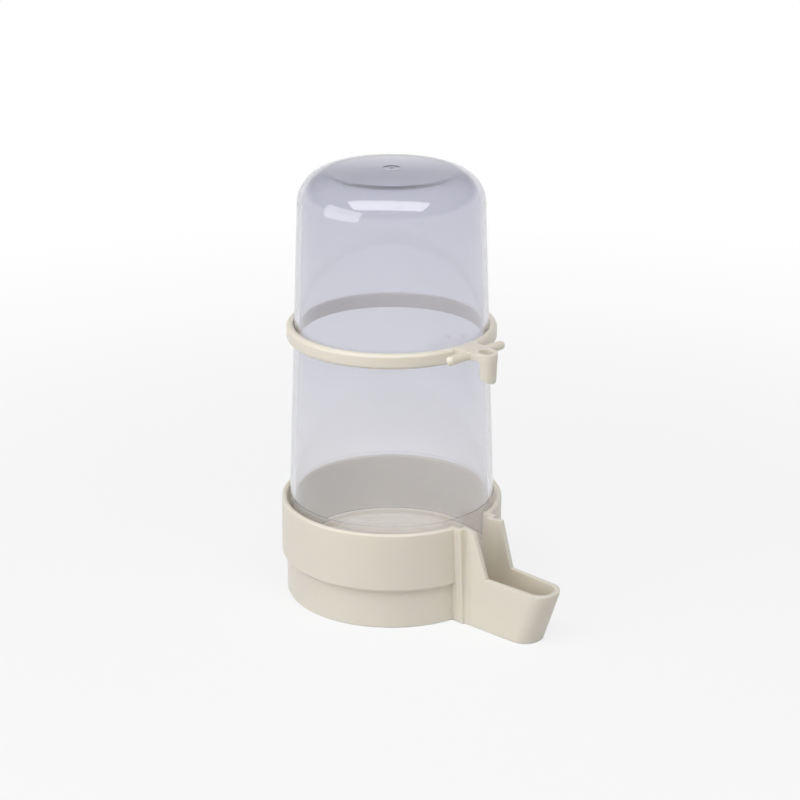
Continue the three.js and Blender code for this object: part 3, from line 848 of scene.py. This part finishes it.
def prong_bar(hanger, prongs):
    """The two prongs as one round bar across the tab."""
    radius = hanger.prong_diameter / 2
    bm = bmesh.new()
    place = Matrix.Translation((prongs, 0.0, hanger.top - radius)) @ Matrix.Rotation(math.pi / 2, 4, "X")
    bmesh.ops.create_cone(
        bm, cap_ends=True, segments=PRONG_SIDES, radius1=radius, radius2=radius,
        depth=hanger.prong_span, matrix=place)
    return round_edges(bm, outer_edges(bm), hanger.prong_round, segments=6)


def loop_hole(hanger, loop):
    """What the hole leaves out, a little longer than wide."""
    start = loop - hanger.hole_run - hanger.hole_radius
    end = loop + hanger.hole_radius
    half = hanger.hole_radius
    low = hanger.top - 2 * hanger.lip_drop
    ends = ((start, -half), (end, -half), (end, half), (start, half))
    plan = [(x, y, half * ROUND_END) for x, y in ends]
    return slab(plan, lambda x, y: Vector((x, y, low)), [(0, 0, 4 * hanger.lip_drop)])


def make_hanger_ring(cup, bottle, hanger):
    """The ring with its hook in one moulding."""
    outer = ring_radius(cup, bottle, hanger)
    prongs = outer + hanger.prong_standoff
    loop = prongs + hanger.loop_spacing
    hook = solid(hook_tab(hanger, outer, prongs, loop), "hook")
    combine(hook, solid(hook_lip(hanger, loop), "lip"), "UNION")
    combine(hook, solid(loop_hole(hanger, loop), "hole"), "DIFFERENCE")

    def on_outline(edge):
        middle = (edge.verts[0].co + edge.verts[1].co) / 2
        beyond_ends = max(loop - hanger.hole_run - middle.x, middle.x - loop, 0.0)
        from_hole = math.hypot(beyond_ends, middle.y)
        hole_rim = (hanger.hole_radius + hanger.loop_radius) / 2
        return middle.z > hanger.top - SAME_POINT and from_hole > hole_rim

    def hook_edges(bm):
        return [e for e in outer_edges(bm) if max(v.co.x for v in e.verts) > outer]

    def soften(bm):
        round_edges(bm, [e for e in hook_edges(bm) if on_outline(e)], hanger.rim_round, segments=5)
        round_edges(bm, hook_edges(bm), hanger.edge_round)
    reshape(hook, soften)
    combine(hook, solid(prong_bar(hanger, prongs), "prongs"), "UNION")
    obj = combine(solid(ring_band(cup, bottle, hanger), "band"), hook, "UNION")

    def swing(bm):
        about_axis = Matrix.Rotation(hanger.hook_turn, 3, "Z")
        bmesh.ops.rotate(bm, verts=bm.verts[:], cent=(0, 0, 0), matrix=about_axis)
    return reshape(obj, swing)


# Stage

def aim(obj, target):
    """Turns a lamp or camera towards a point."""
    obj.rotation_euler = (obj.location - target).to_track_quat("Z", "Y").to_euler()


def look_point(stage):
    """The point on the axis that the camera looks at."""
    return AXIS + Vector((0.0, 0.0, stage.look_height))


def add_camera(stage):
    """The camera at the photograph's angle."""
    data = bpy.data.cameras.new("camera")
    data.lens = stage.lens
    data.sensor_width = stage.sensor
    data.shift_x = stage.shift_x
    data.shift_y = stage.shift_y
    camera = bpy.data.objects.new("camera", data)
    bpy.context.scene.collection.objects.link(camera)
    level = math.cos(stage.elevation)
    back = Vector((
        math.sin(stage.azimuth) * level, -math.cos(stage.azimuth) * level, math.sin(stage.elevation)))
    target = look_point(stage)
    camera.location = target + back * stage.distance
    aim(camera, target)
    bpy.context.scene.camera = camera


def add_softbox(stage, name, towards, left, up, size, radiance):
    """A rectangular lamp, placed from the point that the camera looks at, as the camera sees it."""
    front = Vector((math.sin(stage.azimuth), -math.cos(stage.azimuth), 0.0))
    side = Vector((-math.cos(stage.azimuth), -math.sin(stage.azimuth), 0.0))
    data = bpy.data.lights.new(name, "AREA")
    data.shape = "RECTANGLE"
    data.size, data.size_y = size
    data.energy = radiance * math.pi * size[0] * size[1]
    lamp = bpy.data.objects.new(name, data)
    bpy.context.scene.collection.objects.link(lamp)
    target = look_point(stage)
    lamp.location = target + front * towards + side * left + Vector((0.0, 0.0, up))
    aim(lamp, target)
    lamp.visible_camera = False


def add_floor(colours, stage):
    """The white paper that the fountain stands on."""
    bm = bmesh.new()
    bmesh.ops.create_grid(bm, x_segments=1, y_segments=1, size=stage.floor_half)
    floor = solid(bm, "floor")
    floor.data.materials.append(white_paper(colours, stage))


def add_canopy(colours, stage):
    """A dome of grey cloth that closes the stage above the white background."""
    bm = bmesh.new()
    round_sides, up_sides = CANOPY_SIDES
    bmesh.ops.create_uvsphere(
        bm, u_segments=round_sides, v_segments=up_sides, radius=stage.canopy_radius)
    bmesh.ops.bisect_plane(
        bm, geom=bm.verts[:] + bm.edges[:] + bm.faces[:], dist=SAME_POINT,
        plane_co=(0.0, 0.0, stage.canopy_low), plane_no=(0.0, 0.0, -1.0), clear_outer=True)
    canopy = solid(bm, "canopy")
    canopy.visible_camera = False
    canopy.data.materials.append(grey_cloth(colours, stage))


# Operators

class FOUNTAIN_OT_stage(bpy.types.Operator):
    """Make the camera, the soft boxes, the background and the floor"""
    bl_idname = "fountain.stage"
    bl_label = "Stage"

    def execute(self, context):
        scene = context.scene
        stage = scene.fountain_stage
        add_camera(stage)
        for name, settings in SOFTBOXES.items():
            add_softbox(stage, name, **settings)
        add_floor(scene.fountain_colours, stage)
        add_canopy(scene.fountain_colours, stage)
        scene.world = studio_world(scene.fountain_colours)
        scene.view_settings.view_transform = "Standard"
        return {"FINISHED"}


class FOUNTAIN_OT_base_cup(bpy.types.Operator):
    """Make the ivory base with its cup, neck and drinking trough"""
    bl_idname = "fountain.base_cup"
    bl_label = "Base cup"

    def execute(self, context):
        scene = context.scene
        obj = make_base_cup(scene.fountain_cup, scene.fountain_spout)
        material = ivory_polystyrene(scene.fountain_colours)
        finish_piece(obj, "base_cup_moulding", "base", "base_cup", material)
        return {"FINISHED"}


class FOUNTAIN_OT_reservoir(bpy.types.Operator):
    """Make the clear reservoir"""
    bl_idname = "fountain.reservoir"
    bl_label = "Reservoir"

    def execute(self, context):
        scene = context.scene
        obj = solid(make_reservoir(scene.fountain_cup, scene.fountain_reservoir), "reservoir")
        material = clear_polystyrene(scene.fountain_colours)
        finish_piece(obj, "reservoir_moulding", "bottle", "reservoir", material)
        return {"FINISHED"}


class FOUNTAIN_OT_hanger_ring(bpy.types.Operator):
    """Make the ivory ring with its wire hook"""
    bl_idname = "fountain.hanger_ring"
    bl_label = "Hanger ring"

    def execute(self, context):
        scene = context.scene
        obj = make_hanger_ring(scene.fountain_cup, scene.fountain_reservoir, scene.fountain_hanger)
        material = ivory_polystyrene(scene.fountain_colours)
        finish_piece(obj, "hanger_ring_moulding", "ring", "hanger_ring", material)
        return {"FINISHED"}


class FOUNTAIN_PT_sidebar(bpy.types.Panel):
    """Lists the pieces and their sizes"""
    bl_idname = "FOUNTAIN_PT_sidebar"
    bl_label = "Bird water fountain"
    bl_space_type = "VIEW_3D"
    bl_region_type = "UI"
    bl_category = "Fountain"

    def draw(self, context):
        column = self.layout.column()
        for operator in OPERATORS:
            column.operator(operator.bl_idname)
        for name in GROUPS:
            group = getattr(context.scene, name)
            for key in group.bl_rna.properties.keys():
                if key not in {"rna_type", "name"}:
                    column.prop(group, key)


OPERATORS = (FOUNTAIN_OT_stage, FOUNTAIN_OT_base_cup, FOUNTAIN_OT_reservoir, FOUNTAIN_OT_hanger_ring)
GROUPS = {
    "fountain_cup": CupSizes,
    "fountain_spout": SpoutSizes,
    "fountain_reservoir": ReservoirSizes,
    "fountain_hanger": HangerSizes,
    "fountain_colours": FinishColours,
    "fountain_stage": StageSizes,
}


def register():
    for group in GROUPS.values():
        bpy.utils.register_class(group)
    for name, group in GROUPS.items():
        setattr(bpy.types.Scene, name, bpy.props.PointerProperty(type=group))
    for operator in OPERATORS:
        bpy.utils.register_class(operator)
    bpy.utils.register_class(FOUNTAIN_PT_sidebar)


def unregister():
    bpy.utils.unregister_class(FOUNTAIN_PT_sidebar)
    for operator in reversed(OPERATORS):
        bpy.utils.unregister_class(operator)
    for name, group in reversed(GROUPS.items()):
        delattr(bpy.types.Scene, name)
        bpy.utils.unregister_class(group)


def main():
    register()
    bpy.ops.fountain.stage()
    bpy.ops.fountain.base_cup()
    bpy.ops.fountain.reservoir()
    bpy.ops.fountain.hanger_ring()


if __name__ == "__main__":
    main()
